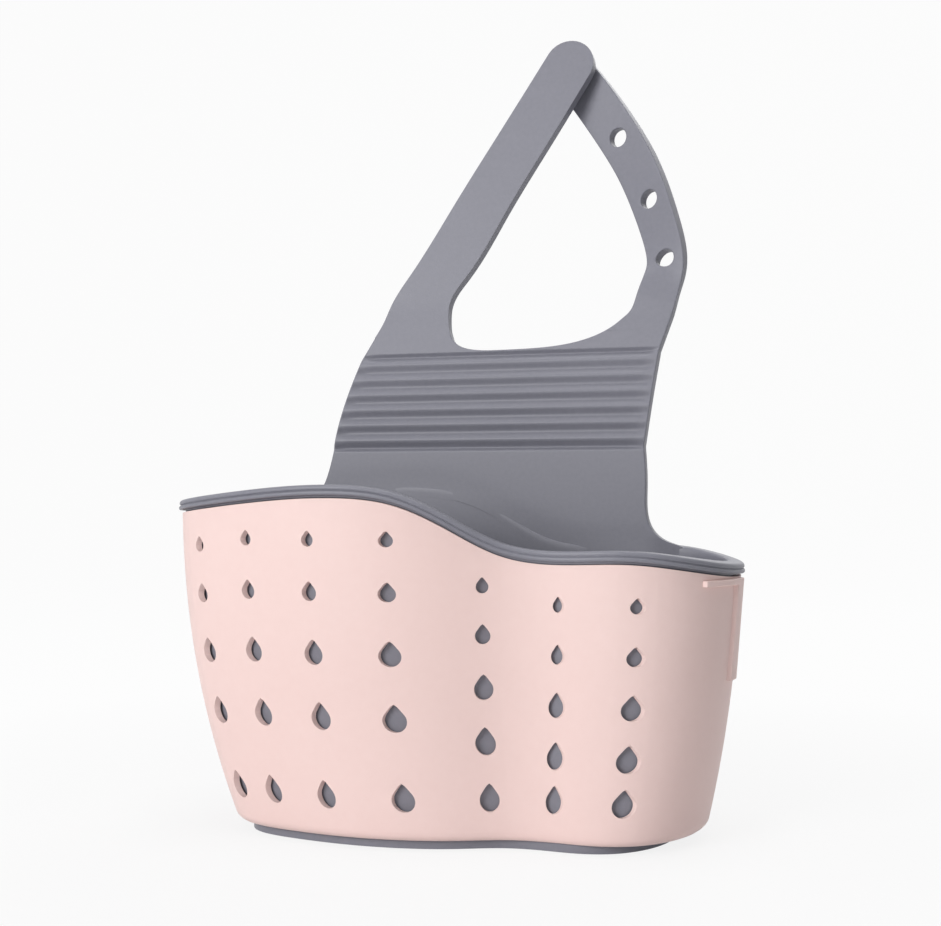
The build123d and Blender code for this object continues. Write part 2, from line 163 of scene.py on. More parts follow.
def basketPoint(walk, level, inset):
    # a point of the basket's wall, from the distance walked round its rim
    walk = walk % perimeter
    across = np.interp(walk, ringWalk, ringSteps[:, 0]) / basket["width"]
    deep = np.interp(walk, ringWalk, ringSteps[:, 1]) / basket["depth"]
    left, right, front, back = wallsAt(level, inset)
    return Vector((left + (right - left) * across, front + (back - front) * deep, level))


def rimHeight(x):
    # how high the rim's top line runs at one place across
    return float(np.interp(x, rimSteps[:, 0], rimSteps[:, 1]))


def edgeHeight(walk):
    # how high the rim's underside is over one place of the wall
    return rimHeight(basketPoint(walk, basket["edgeLevel"], 0).x) - rim["height"]


def walkOf(level, y, x=None):
    # how far round the rim a place on the wall lies: without x it is looked for on the right end
    best, found = math.inf, 0.0
    for walk in np.arange(0.0, perimeter, basket["searchStep"]):
        p = basketPoint(walk, level, 0)
        if x is None and p.x < basket["rightFrom"]:
            continue
        miss = (p.y - y) ** 2 + (0.0 if x is None else (p.x - x) ** 2)
        if miss < best:
            best, found = miss, walk
    return found


# Shader helpers: values are written as sums, every other node comes from Paint.node.
class Wire:
    def __init__(self, paint, socket):
        self.paint = paint
        self.socket = socket

    def sum(self, operation, first, second):
        return self.paint.node("ShaderNodeMath", {"operation": operation}, {0: first, 1: second})

    def __add__(self, other):
        return self.sum("ADD", self, other)

    def __sub__(self, other):
        return self.sum("SUBTRACT", self, other)

    def __rsub__(self, other):
        return self.sum("SUBTRACT", other, self)

    def __mul__(self, other):
        return self.sum("MULTIPLY", self, other)

    __radd__ = __add__
    __rmul__ = __mul__


class Paint:
    # the nodes of one material, or of the world
    def __init__(self, owner):
        owner.use_nodes = True
        self.tree = owner.node_tree
        self.tree.nodes.clear()

    def node(self, kind, settings, inputs, output=0):
        # a node's own settings, then its inputs as values or wires: gives one of its outputs
        made = self.tree.nodes.new(kind)
        for key, value in settings.items():
            setattr(made, key, value)
        for key, value in inputs.items():
            if isinstance(value, Wire):
                self.tree.links.new(value.socket, made.inputs[key])
            else:
                made.inputs[key].default_value = value
        return Wire(self, made.outputs[output]) if made.outputs else None

    def coords(self):
        return self.node("ShaderNodeTexCoord", {}, {}, "Object")

    def noise(self, scale, detail, rough):
        inputs = {"Vector": self.coords(), "Scale": scale, "Detail": detail, "Roughness": rough}
        return self.node("ShaderNodeTexNoise", {}, inputs)

    def mixColour(self, factor, first, second):
        # a Mix node keeps its colours on inputs 6 and 7 and output 2
        return self.node("ShaderNodeMix", {"data_type": "RGBA"}, {0: factor, 6: first, 7: second}, 2)

    def seenRays(self):
        # 1 for what the camera sees, straight, in a gloss or through something clear
        kinds = ("Is Camera Ray", "Is Glossy Ray", "Is Transmission Ray")
        camera, glossy, clear = (self.node("ShaderNodeLightPath", {}, {}, kind) for kind in kinds)
        return camera + glossy + clear


def srgb(r, g, b):
    # a colour as it is picked on a screen, brought to the renderer's own scale
    def linear(c):
        c = c / 255
        return c / 12.92 if c <= 0.04045 else ((c + 0.055) / 1.055) ** 2.4

    return (linear(r), linear(g), linear(b), 1.0)


# Finishes: each noise is its scale, detail and roughness, and cloudTone is the clouds' share of the tone.
hardPink = {
    "cloud": (14.0, 3.0, 0.5), "speck": (420.0, 2.0, 0.5), "grain": (2600.0, 2.0, 0.5),
    "cloudTone": 0.7, "dark": (242, 212, 206), "light": (250, 224, 219),
    "rough": 0.46, "cloudRough": 0.12, "speckRough": 0.06,
    "bump": 0.10, "bumpDepth": 0.0001, "specular": 0.35,
}
softGrey = {
    "cloud": (22.0, 3.0, 0.5), "speck": (700.0, 3.0, 0.5), "grain": (1900.0, 3.0, 0.6),
    "cloudTone": 0.5, "dark": (121, 121, 131), "light": (139, 139, 149),
    "rough": 0.45, "cloudRough": 0.12, "speckRough": 0.10,
    "bump": 0.22, "bumpDepth": 0.00015, "specular": 0.45,
}


def mouldedFinish(name, finish):
    # a smooth moulding: faint clouding and specks in its tone and gloss, over a very fine grain
    material = bpy.data.materials.new(name)
    paint = Paint(material)
    cloud, speck, grain = (paint.noise(*finish[key]) for key in ("cloud", "speck", "grain"))
    tone = cloud * finish["cloudTone"] + speck * (1 - finish["cloudTone"])
    colour = paint.mixColour(tone, srgb(*finish["dark"]), srgb(*finish["light"]))
    rough = finish["rough"] + (cloud - 0.5) * finish["cloudRough"] + (speck - 0.5) * finish["speckRough"]
    bump = {"Strength": finish["bump"], "Distance": finish["bumpDepth"], "Height": grain}
    normal = paint.node("ShaderNodeBump", {}, bump)
    surface = {"Base Color": colour, "Roughness": rough, "Normal": normal}
    surface["Specular IOR Level"] = finish["specular"]
    shader = paint.node("ShaderNodeBsdfPrincipled", {}, surface)
    paint.node("ShaderNodeOutputMaterial", {}, {0: shader})
    return material


finishes = {
    "hard_pink": mouldedFinish("hardPink", hardPink),
    "soft_grey": mouldedFinish("softGrey", softGrey),
}
print("materials made")

# What counts as one place, one plane or a hard edge when meshes are made, in millimetres and degrees.
meshing = {"tiny": 1e-4, "onCut": 1e-3, "weld": 0.002, "hardTurn": 50.0, "creaseTurn": 40.0}


def freshGrid(across, up):
    # a flat grid, from -1 to 1 both ways, whose corners are put in place afterwards
    bm = bmesh.new()
    bmesh.ops.create_grid(bm, x_segments=across, y_segments=up, size=1.0)
    return bm


def gridPlace(v, across, up):
    # which line and which level of a fresh grid a corner lies on
    return round((v.co.x + 1) / 2 * across), round((v.co.y + 1) / 2 * up)


def thicken(bm, drop):
    # give a flat sheet a back, drop below its front
    made = bmesh.ops.extrude_face_region(bm, geom=bm.faces[:])
    back = [g for g in made["geom"] if isinstance(g, bmesh.types.BMVert)]
    bmesh.ops.translate(bm, verts=back, vec=(0, 0, -drop))
    bmesh.ops.recalc_face_normals(bm, faces=bm.faces[:])


def soften(bm, edges, width, segments):
    bmesh.ops.bevel(
        bm,
        geom=edges,
        offset=width,
        offset_type="OFFSET",
        segments=segments,
        profile=0.5,
        affect="EDGES",
        material=-1,
        clamp_overlap=True,
    )


def hardEdges(bm, plane=None):
    # edges with a sharp turn, all or only those that lie at one height
    found = []
    for e in bm.edges:
        if len(e.link_faces) != 2 or e.calc_face_angle(0.0) < math.radians(meshing["hardTurn"]):
            continue
        if plane is None or all(abs(v.co.z - plane) < meshing["tiny"] for v in e.verts):
            found.append(e)
    return found


def openSeam(bm, ends):
    # drop the end faces of a thick sheet that is to close on itself
    gone = []
    for f in bm.faces:
        if any(all(abs(v.co.x - x) < meshing["tiny"] for v in f.verts) for x in ends):
            gone.append(f)
    bmesh.ops.delete(bm, geom=gone, context="FACES")


def cutAcross(bm, axis, places):
    # extra edges straight across a flat piece, where it is going to bend
    for place in places:
        point = (place, 0, 0) if axis == 0 else (0, place, 0)
        bmesh.ops.bisect_plane(
            bm,
            geom=bm.verts[:] + bm.edges[:] + bm.faces[:],
            dist=meshing["tiny"],
            plane_co=point,
            plane_no=(1, 0, 0) if axis == 0 else (0, 1, 0),
        )


def wrapPoints(bm, place):
    for v in bm.verts:
        v.co = place(v.co) * mm


def weldPoints(bm):
    bmesh.ops.remove_doubles(bm, verts=bm.verts[:], dist=meshing["weld"] * mm)


def closeSeams(bm):
    weldPoints(bm)
    bmesh.ops.recalc_face_normals(bm, faces=bm.faces[:])


def addObject(name, data):
    thing = bpy.data.objects.new(name, data)
    bpy.context.scene.collection.objects.link(thing)
    return thing


def addMesh(bm, name, material):
    # a finished mesh as a smoothly shaded object of the scene
    mesh = bpy.data.meshes.new(name)
    bm.to_mesh(mesh)
    bm.free()
    for polygon in mesh.polygons:
        polygon.use_smooth = True
    mesh.materials.append(material)
    return addObject(name, mesh)


def handOver(bm, name, slot, body, *nodes):
    # the finished mesh becomes a piece that rides on its body and stands for its nodes
    for e in bm.edges:
        e.smooth = len(e.link_faces) == 2 and e.calc_face_angle(0.0) < math.radians(meshing["creaseTurn"])
    piece = addMesh(bm, name, finishes[slot])
    weights = piece.modifiers.new("evenShading", "WEIGHTED_NORMAL")
    weights.keep_sharp = True
    if body:
        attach(piece, body)
    if nodes:
        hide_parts(*nodes)
    return piece


# Shell: one flat sheet with its drops cut out is thickened, softened and wrapped round the basket.
shell = {
    "thickness": 1.6,
    "lipReach": 3.4,
    "bottomRadius": 3.0,
    "topSeam": 0.3,
    # the sheet's lattice: a square cell of fine lines round each drop, wider steps between the cells
    "cellSteps": 12, "cellHalf": 6.0, "cellBelow": 4.8, "cellAbove": 7.2,
    "cellRings": 2,  # rings of a cell outside its drop
    "sideStep": 2.6, "turnSteps": 6, "gapSteps": 3, "topSteps": 4,
    # drops: their sizes, and the rows as shares of the climb from the bottom row to the top one
    "smallDrop": 3.7, "largeDrop": 6.6, "dropTip": 1.7,
    "dropEase": 6.0, "dropRound": 0.5, "dropSegments": 4,
    "rowSizes": [0.0, 0.3, 0.75, 0.95, 1.0],
    "bottomRow": 14.5,
    "highRows": [1.0, 0.795, 0.556, 0.307, 0.0],
    "lowRows": [1.0, 0.745, 0.485, 0.225, 0.0],
    "backFirstRow": 2,
    "slideStart": 33.0,
    "slideEnd": 22.0,
    "plotLevel": 50.0,
    # columns: place across and deep, top row, share of the low side's rows, width, pull of the lowest drop
    "front": [
        (0.085, 0.109, 86.4, 0.0, 1.0, 0.0), (0.189, 0.037, 88.6, 0.0, 1.0, 3.0),
        (0.311, 0.0, 88.6, 0.0, 1.0, 3.0), (0.449, 0.026, 88.6, 0.0, 1.18, 0.0),
        (0.602, 0.154, 75.5, 0.5, 1.0, -0.8), (0.7285, 0.201, 70.3, 1.0, 0.88, 0.0),
        (0.8635, 0.208, 70.3, 1.0, 1.2, 0.0),
    ],
    "back": [
        (0.8, 1.0, 70.3, 1.0, 1.0, 0.0), (0.6, 1.0, 70.3, 1.0, 1.0, 0.0),
        (0.4, 1.0, 88.6, 0.0, 1.0, 0.0), (0.2, 1.0, 88.6, 0.0, 1.0, 0.0),
    ],
}
turnEnd = basket["stand"] + shell["bottomRadius"]
turnStart = turnEnd - shell["bottomRadius"] * math.pi / 2


def rowHeight(column, row):
    high, low = shell["highRows"][row], shell["lowRows"][row]
    climb = column["top"] - shell["bottomRow"]
    return shell["bottomRow"] + climb * (high + (low - high) * column["low"])


def shellColumns():
    # every column of drops, in the order in which they are met on the walk round the shell
    left, right, front, back = wallsAt(shell["plotLevel"], 0)
    columns = []
    for side, first in (("front", 0), ("back", shell["backFirstRow"])):
        rows = range(first, len(shell["rowSizes"]))
        for across, deep, top, low, wide, pull in shell[side]:
            x, y = left + (right - left) * across, front + (back - front) * deep
            walk = walkOf(shell["plotLevel"], y, x)
            columns.append({"walk": walk, "top": top, "low": low, "wide": wide, "pull": pull, "rows": rows})
    columns.sort(key=lambda column: column["walk"])
    return columns


def shellLevels(column):
    # heights of the sheet's level lines under one column, up to its top drop's cell
    levels = [turnStart - (shell["lipReach"] - shell["bottomRadius"])]
    levels += list(np.linspace(turnStart, turnEnd, shell["turnSteps"] + 1))
    half = shell["cellSteps"] // 2
    for row in reversed(range(len(shell["rowSizes"]))):
        middle = rowHeight(column, row)
        low, high = middle - shell["cellBelow"], middle + shell["cellAbove"]
        for end, count in ((low, shell["gapSteps"]), (middle, half), (high, half)):
            levels += list(np.linspace(levels[-1], end, count + 1)[1:])
    return np.array(levels)


def sheetLines(columns):
    # the sheet's upright lines: place, the columns on both sides and the share of the second
    half, steps = shell["cellHalf"], shell["cellSteps"]
    lines, starts = [], []
    for index, column in enumerate(columns):
        last = index == len(columns) - 1
        after = columns[0 if last else index + 1]
        starts.append(len(lines))
        for k in range(steps + 1):
            lines.append((column["walk"] - half + 2 * half * k / steps, column, column, 0.0))
        nextWalk = after["walk"] + (perimeter if last else 0)
        gap = nextWalk - column["walk"] - 2 * half
        count = max(2, round(gap / shell["sideStep"]))
        for k in range(1, count):
            share = k / count
            lines.append((column["walk"] + half + gap * share, column, after, easeIn(share, 0, 1)))
    lines.append((columns[0]["walk"] - half + perimeter, columns[0], columns[0], 0.0))
    return lines, starts


def makeSheet(lines):
    # the flat sheet, and its corners by line and level
    table = []
    for walk, before, after, share in lines:
        levels = shellLevels(before) * (1 - share) + shellLevels(after) * share
        edge = edgeHeight(walk) - shell["topSeam"]
        table.append(list(levels) + list(np.linspace(levels[-1], edge, shell["topSteps"] + 1)[1:]))
    across, up = len(lines) - 1, len(table[0]) - 1
    bm, lattice = freshGrid(across, up), {}
    for v in bm.verts:
        i, j = gridPlace(v, across, up)
        lattice[(i, j)] = v
        v.co = Vector((lines[i][0], table[i][j], 0))
    return bm, lattice


def dropRadius(width, angle):
    # how far a drop reaches from its middle, angle measured from its tip
    radius = width / 2
    touch = math.acos(1 / shell["dropTip"])
    eased = math.sqrt(angle**2 + math.radians(shell["dropEase"]) ** 2)
    return radius if eased >= touch else radius / math.cos(touch - eased)


def cellAngle(a, b):
    # the way from a cell's middle to a corner of its square ring, spread evenly all round
    if abs(a) >= abs(b):
        return math.radians((0 if a > 0 else 180) + b / a * 45)
    return math.radians((90 if b > 0 else 270) - a / b * 45)


def cutDrops(bm, lattice, columns, starts):
    # the middle of each cell goes, and the ring round it moves onto the drop's outline
    steps, gap = shell["cellSteps"], shell["gapSteps"]
    half = steps // 2
    ring = half - shell["cellRings"]
    lowest = len(shell["rowSizes"]) - 1
    gone = []
    for column, start in zip(columns, starts):
        for row in column["rows"]:
            level = shell["turnSteps"] + 1 + (lowest - row) * (gap + steps) + gap + half
            centre = Vector((column["walk"], rowHeight(column, row), 0))
            width = shell["smallDrop"] + (shell["largeDrop"] - shell["smallDrop"]) * shell["rowSizes"][row]
            for a in range(-ring, ring + 1):
                for b in range(-ring, ring + 1):
                    v = lattice[(start + half + a, level + b)]
                    if max(abs(a), abs(b)) < ring:
                        gone.append(v)
                        continue
                    angle = cellAngle(a, b)
                    fromTip = abs((math.pi / 2 - angle + math.pi) % (2 * math.pi) - math.pi)
                    way = Vector((math.cos(angle) * column["wide"], math.sin(angle), 0))
                    v.co = centre + way * dropRadius(width, fromTip)
    bmesh.ops.delete(bm, geom=gone, context="VERTS")


def slideDrops(bm, columns):
    # some of the lowest drops stand to the left of those above them
    walks = [column["walk"] for column in columns]
    for v in bm.verts:
        near = max(i for i, walk in enumerate(walks[:-1]) if walk <= v.co.x or i == 0)
        share = easeIn(v.co.x, walks[near] + shell["cellHalf"], walks[near + 1] - shell["cellHalf"])
        pull = columns[near]["pull"] * (1 - share) + columns[near + 1]["pull"] * share
        v.co.x -= pull * easeIn(v.co.y, shell["slideStart"], shell["slideEnd"])


def bendShell(co):
    # the sheet's height runs round the foot's turn and in along its lip
    walk, level, depth = co.x, co.y, -co.z
    radius = shell["bottomRadius"]
    if level >= turnEnd:
        return basketPoint(walk, level, depth)
    if level <= turnStart:
        return basketPoint(walk, basket["stand"] + depth, radius + turnStart - level)
    turn = (level - turnStart) / radius
    reach = radius - depth
    return basketPoint(walk, turnEnd - reach * math.cos(turn), radius - reach * math.sin(turn))


# Guide: the raised inverted L at the shell's right end
guide = {
    "proud": 1.4, "sunk": 0.6, "band": 6.0, "bar": 1.8,
    "top": 77.4, "bottom": 47.5, "front": -8.0, "back": 14.0,
    "plotLevel": 75.0, "round": 0.35, "segments": 3, "bendStep": 1.0,
}


def addGuide(bm):
    # the guide is wrapped on the same wall and joins the shell's mesh
    places = (guide["front"], guide["back"] - guide["band"], guide["back"])
    start, inner, end = (walkOf(guide["plotLevel"], y) for y in places)
    low, high, bar = guide["bottom"], guide["top"], guide["top"] - guide["bar"]
    corners = [(start, bar), (inner, bar), (inner, low), (end, low), (end, high), (start, high)]
    part = bmesh.new()
    part.faces.new([part.verts.new((x, y, guide["proud"])) for x, y in corners])
    thicken(part, guide["proud"] + guide["sunk"])
    bmesh.ops.triangulate(part, faces=[f for f in part.faces if len(f.verts) > 4])
    soften(part, hardEdges(part), guide["round"], guide["segments"])
    cutAcross(part, 0, np.arange(start + guide["bendStep"], end, guide["bendStep"]))
    wrapPoints(part, bendShell)
    mesh = bpy.data.meshes.new("guide")
    part.to_mesh(mesh)
    part.free()
    bm.from_mesh(mesh)
    bpy.data.meshes.remove(mesh)


def makeShell():
    columns = shellColumns()
    lines, starts = sheetLines(columns)
    bm, lattice = makeSheet(lines)
    cutDrops(bm, lattice, columns, starts)
    slideDrops(bm, columns)
    thicken(bm, shell["thickness"])
    openSeam(bm, (lines[0][0], lines[-1][0]))
    soften(bm, hardEdges(bm, 0.0), shell["dropRound"], shell["dropSegments"])
    wrapPoints(bm, bendShell)
    addGuide(bm)
    closeSeams(bm)
    handOver(bm, "shell_skin", "hard_pink", "shell", "outer_shell")


makeShell()
print("shell made")

liner = {
    "inset": 2.35,  # from the shell's face to the liner's
    "wall": 1.7,
    "floorBottom": 4.7,
    "floorTop": 6.9,
    "innerRadius": 1.2,
    "tuck": 0.6,  # how far the wall runs up into the rim
    "across": 240,
    "up": 28,
    "crowding": 1.5,  # above 1 the level lines crowd towards the foot
}


def makeLinerWall():
    # the soft wall behind the drops, thickened inwards with a rounded foot
    bm = freshGrid(liner["across"], liner["up"])
    for v in bm.verts:
        walk = (v.co.x + 1) / 2 * perimeter
        share = ((v.co.y + 1) / 2) ** liner["crowding"]
        edge = edgeHeight(walk) + liner["tuck"]
        v.co = Vector((walk, liner["floorTop"] + (edge - liner["floorTop"]) * share, 0))
    thicken(bm, liner["wall"])
    openSeam(bm, (0, perimeter))

    def place(co):
        inset = liner["inset"] - co.z
        rise = co.y - liner["floorTop"]
        radius = liner["innerRadius"]
        if co.z < -liner["wall"] / 2 and rise < radius:
            inset += radius - math.sqrt(radius**2 - (radius - rise) ** 2)
        return basketPoint(co.x, co.y, inset)

    wrapPoints(bm, place)
    closeSeams(bm)
    handOver(bm, "liner_wall_skin", "soft_grey", "liner", "liner_wall")


def makeRim():
    # the rim's section, carried round the basket
    count = len(rim["section"])
    bm = freshGrid(rim["across"], count)
    for v in bm.verts:
        walk = (v.co.x + 1) / 2 * perimeter
        out, up = rim["section"][gridPlace(v, rim["across"], count)[1] % count]
        x = basketPoint(walk, rim["level"], -out).x
        v.co = basketPoint(walk, rimHeight(x) + up, -out) * mm
    closeSeams(bm)
    handOver(bm, "rim_skin", "soft_grey", "liner", "liner_rim")


makeLinerWall()
makeRim()
print("liner wall and rim made")

drain = {
    "length": 14.0, "width": 3.0, "pitchX": 20.0, "pitchY": 17.0, "columns": 5, "rows": 2, "endSteps": 8,
}
floors = {
    "around": 260,
    "segments": 3,
    # each plate: node, inset, level of its outline, top, bottom, rounding, draw of its right half
    "foot_skin": ("liner_foot", 4.0, basket["stand"], liner["floorBottom"], 0.0, 0.55, 0.93),
    "floor_skin": (
        "drain_floor", 2.75, liner["floorTop"], liner["floorTop"], liner["floorBottom"], 0.45, 1.0,
    ),
}


def makePlate(outlines, top, bottom):
    # a plate from closed outlines, the first its edge and the others its holes
    bm = bmesh.new()
    for outline in outlines:
        corners = [bm.verts.new((x, y, top)) for x, y in outline]
        for k, v in enumerate(corners):
            bm.edges.new((v, corners[(k + 1) % len(corners)]))
    bmesh.ops.triangle_fill(bm, use_beauty=True, use_dissolve=False, edges=bm.edges[:], normal=(0, 0, 1))
    thicken(bm, top - bottom)
    return bm


def slotOutline(x, y):
    # a drain slot with round ends, as a closed outline
    r, half, points = drain["width"] / 2, (drain["length"] - drain["width"]) / 2, []
    for side, start in ((1, -90), (-1, 90)):
        for k in range(drain["endSteps"] + 1):
            a = math.radians(start + 180 * k / drain["endSteps"])
            points.append((x + side * half + r * math.cos(a), y + r * math.sin(a)))
    return points


def drainSlots():
    found = []
    for i in range(drain["columns"]):
        for j in range(drain["rows"]):
            x = (i - (drain["columns"] - 1) / 2) * drain["pitchX"]
            y = (j - (drain["rows"] - 1) / 2) * drain["pitchY"]
            found.append(slotOutline(x, y))
    return found


def makeFloors():
    # the foot and the drain floor on it share their slots
    for name in ("foot_skin", "floor_skin"):
        node, inset, level, top, bottom, width, draw = floors[name]
        edge = []
        for k in range(floors["around"]):
            p = basketPoint(perimeter * k / floors["around"], level, inset)
            edge.append((p.x * draw if p.x > 0 else p.x, p.y))
        bm = makePlate([edge] + drainSlots(), top, bottom)
        soften(bm, hardEdges(bm), width, floors["segments"])
        wrapPoints(bm, lambda co: co)
        handOver(bm, name, "soft_grey", "liner", node)


makeFloors()
print("floors made")

# Strap: flat pieces in (across, height along the strap, out to the front), bent to its line.
strap = {
    "panelTop": 116.8, "middleY": 31.8, "half": 1.8, "edgeRound": 0.45,
    "roundSteps": 4, "faceSteps": 44, "bendStep": 1.0, "seam": 0.15,
    "lean": 14.0,
    "leftLean": 10.0,  # lean of the left arm past its turn
    "armTurn": 48.0,  # height at which the arms hinge
    "armEase": 4.0,
    "armBlend": 10.5,  # reach of the span worked out up and down from an arm's hinge
    "cutYoke": 31.3, "cutArm": 37.0,
    "ribs": 6, "ribPitch": 5.0, "ribHalf": 2.1, "ribSteps": 12, "flexReach": 1.1,
    "grooveDepth": 1.2,
    "grooveReach": 1.3,  # how far the two end grooves reach outwards
    "fadeFrom": 1.2, "fadeTo": 3.0,  # grooves fade in at these distances from the side edges
    "rampOut": 1.0, "rampIn": 1.5,  # where the ribs' thickness starts and is full
    "lineFrom": -40.0, "lineTo": 145.0, "lineStep": 0.25,
}
hingeSeven = strap["ribs"] * strap["ribPitch"]


def strapLean(h, tipLean):
    # the strap's lean, in degrees, at one height along it
    step = strap["ribPitch"]
    lean = strap["lean"] * min(1.0, max(0.0, (h + step / 2) / (hingeSeven + step)))
    past = easeIn(h, strap["armTurn"] - strap["armEase"], strap["armTurn"] + strap["armEase"])
    return lean + (tipLean - strap["lean"]) * past


def strapLine(tipLean):
    # heights along the strap, with where its middle runs, back and up
    step = strap["lineStep"]
    heights = np.arange(strap["lineFrom"], strap["lineTo"], step)
    leans = np.radians([strapLean(h + step / 2, tipLean) for h in heights])
    ways = (np.sin(leans), np.cos(leans))
    back, up = (np.concatenate([[0.0], np.cumsum(way * step)])[:-1] for way in ways)
    return heights, back + strap["middleY"], up + strap["panelTop"] + strap["lineFrom"]


strapLines = {lean: strapLine(lean) for lean in (strap["lean"], strap["leftLean"])}


def strapPoint(x, h, out, tipLean=strap["lean"]):
    # a place on the bent strap: across, along, and out to its front
    heights, ys, zs = strapLines[tipLean]
    lean = math.radians(strapLean(h, tipLean))
    y, z = float(np.interp(h, heights, ys)), float(np.interp(h, heights, zs))
    return Vector((x, y - out * math.cos(lean), z + out * math.sin(lean)))


def bendSpan(h, reach):
    # two places on the strap's middle line, a reach below and above one height
    return strapPoint(0, h - reach, 0) * mm, strapPoint(0, h + reach, 0) * mm


def strapFaces(h):
    # how far the panel and ribs reach from the strap's middle, and how deep a groove is there
    raised = easeIn(h, -strap["rampOut"], strap["rampIn"])
    raised *= 1 - easeIn(h, hingeSeven - strap["rampIn"], hingeSeven + strap["rampOut"])
    nearest = min(strap["ribs"], max(0, round(h / strap["ribPitch"])))
    away = abs(h - nearest * strap["ribPitch"])
    reach = strap["ribPitch"] / 2 if 0 <= h <= hingeSeven else strap["grooveReach"]
    groove = strap["grooveDepth"] * (1 - easeIn(away, 0, reach))
    return strap["half"] + (strap["ribHalf"] - strap["half"]) * raised, groove


def makeTube(name, heights, edges, place, body, nodes):
    # a flat bar whose edges and faces vary along it: quads all round, closed at both ends
    turns = [math.radians(90 * k / strap["roundSteps"]) for k in range(strap["roundSteps"] + 1)]
    section = []
    for front in (1, -1):
        section += [("start", front, turn) for turn in turns]
        section += [("face", front, k / strap["faceSteps"]) for k in range(1, strap["faceSteps"])]
        section += [("end", front, turn) for turn in turns]
    count, up = len(section), len(heights) - 1
    bm = freshGrid(count, up)
    for v in bm.verts:
        i, j = gridPlace(v, count, up)
        h = heights[j]
        kind, front, value = section[i % count]
        left, right = edges(h)
        crest, groove = strapFaces(h)
        start, end = (left, right) if front > 0 else (right, left)
        r, way = strap["edgeRound"], 1 if end > start else -1
        if kind == "face":
            x = start + way * r + (end - start - 2 * way * r) * value
            inward = min(abs(x - start), abs(end - x))
            out = crest - groove * easeIn(inward, strap["fadeFrom"], strap["fadeTo"])
        elif kind == "start":
            x, out = start + way * r * (1 - math.cos(value)), crest - r * (1 - math.sin(value))
        else:
            x, out = end - way * r * (1 - math.sin(value)), crest - r * (1 - math.cos(value))
        v.co = place(x, h, out * front) * mm
    weldPoints(bm)
    bmesh.ops.edgeloop_fill(bm, edges=[e for e in bm.edges if e.is_boundary])
    bmesh.ops.recalc_face_normals(bm, faces=bm.faces[:])
    return handOver(bm, name, "soft_grey", body, *nodes)


panel = {
    "left": 53.3,
    "leftFlare": 5.5,
    "leftRoot": 1,  # the point of the rim's line over which the edge starts
    "leftCurve": 1.3,
    "right": 51.3,
    "rightFlare": 10.7,
    "rightRoot": 7,
    # each edge: share of its flare, and share of the climb to the first rib
    "leftEdge": [(1.0, 0.0), (0.75, 0.1), (0.55, 0.25), (0.25, 0.6), (0.0, 1.0)],
    "rightEdge": [(1.0, 0.0), (0.5, 0.07), (0.25, 0.15), (0.05, 0.6), (0.0, 1.0)],
    "yokeLeft": 44.5, "yokeRight": 55.4,
    "bottom": -37.0, "steps": 85, "sunk": 3.3,
    # the front steps back into the rim at its foot, and further at the right end
    "rootStep": 0.1, "rootFade": 8.0, "endSink": 1.6, "endFrom": 4.0, "endTo": 11.0,
    "filletSlope": 2.5, "filletDrop": 1.4,
}


def panelEdge(side):
    # one side edge of the panel, from the rim up to the first rib: height and place across
    sign = -1 if side == "left" else 1
    root = basket["height"] * basket["rimLine"][panel[side + "Root"]][1] - strap["seam"]
    climb = strap["panelTop"] - strap["seam"] - root
    points = []
    for flare, up in panel[side + "Edge"]:
        across = panel[side] + panel[side + "Flare"] * flare
        points.append((root - strap["panelTop"] + climb * up, sign * across))
    return smoothCurve(points, False)


panelEdges = {side: panelEdge(side) for side in ("left", "right")}


def strapEdges(h):
    # left and right edge of the strap, from the panel's foot up to where the loop takes over
    if h > hingeSeven:
        return outerEdges(h)
    if h <= 0:
        return [float(np.interp(h, line[:, 0], line[:, 1])) for line in panelEdges.values()]
    share = h / hingeSeven
    left = -panel["left"] + (panel["left"] - panel["yokeLeft"]) * share ** panel["leftCurve"]
    right = panel["right"] + (panel["yokeRight"] - panel["right"]) * share
    return left, right


def makePanel():
    # the plain stretch: its foot follows the rim and runs into the liner's inner face
    def place(x, h, out):
        p = strapPoint(x, h, out)
        root = rimHeight(x)
        if out > 0:
            atEnd = easeIn(x, panel["right"] + panel["endFrom"], panel["right"] + panel["endTo"])
            sink = panel["rootStep"] + panel["endSink"] * atEnd
            p.y += sink * (1 - easeIn(p.z, root, root + panel["rootFade"]))
        p.z = max(p.z, root - panel["sunk"])
        return p

    def edges(h):
        # both flares run on below the rim's top, so that the panel ends in a small fillet
        below = [max(0.0, line[0][0] - h) for line in panelEdges.values()]
        more = [panel["filletSlope"] * min(panel["filletDrop"], drop) for drop in below]
        left, right = strapEdges(h)
        return left - more[0], right + more[1]

    heights = np.linspace(panel["bottom"], -strap["ribPitch"] / 2, panel["steps"] + 1)
    makeTube("panel_skin", heights, edges, place, "liner", ["back_panel"])


def makeRibs():
    # one piece for each hinge, from the middle of a rib to the middle of the next
    for k in range(strap["ribs"] + 1):
        hinge = k * strap["ribPitch"]
        low = hinge - strap["ribPitch"] / 2
        high = strap["cutYoke"] if k == strap["ribs"] else hinge + strap["ribPitch"] / 2
        nodes = [f"flex_rib_{k}"] if k else []
        heights = list(np.linspace(low, hinge, strap["ribSteps"] + 1))
        heights += list(np.linspace(hinge, high, strap["ribSteps"] + 1))[1:]
        piece = makeTube(f"rib_skin_{k + 1}", heights, strapEdges, strapPoint, None, nodes)
        start, end = bendSpan(hinge, strap["flexReach"])
        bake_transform(piece)


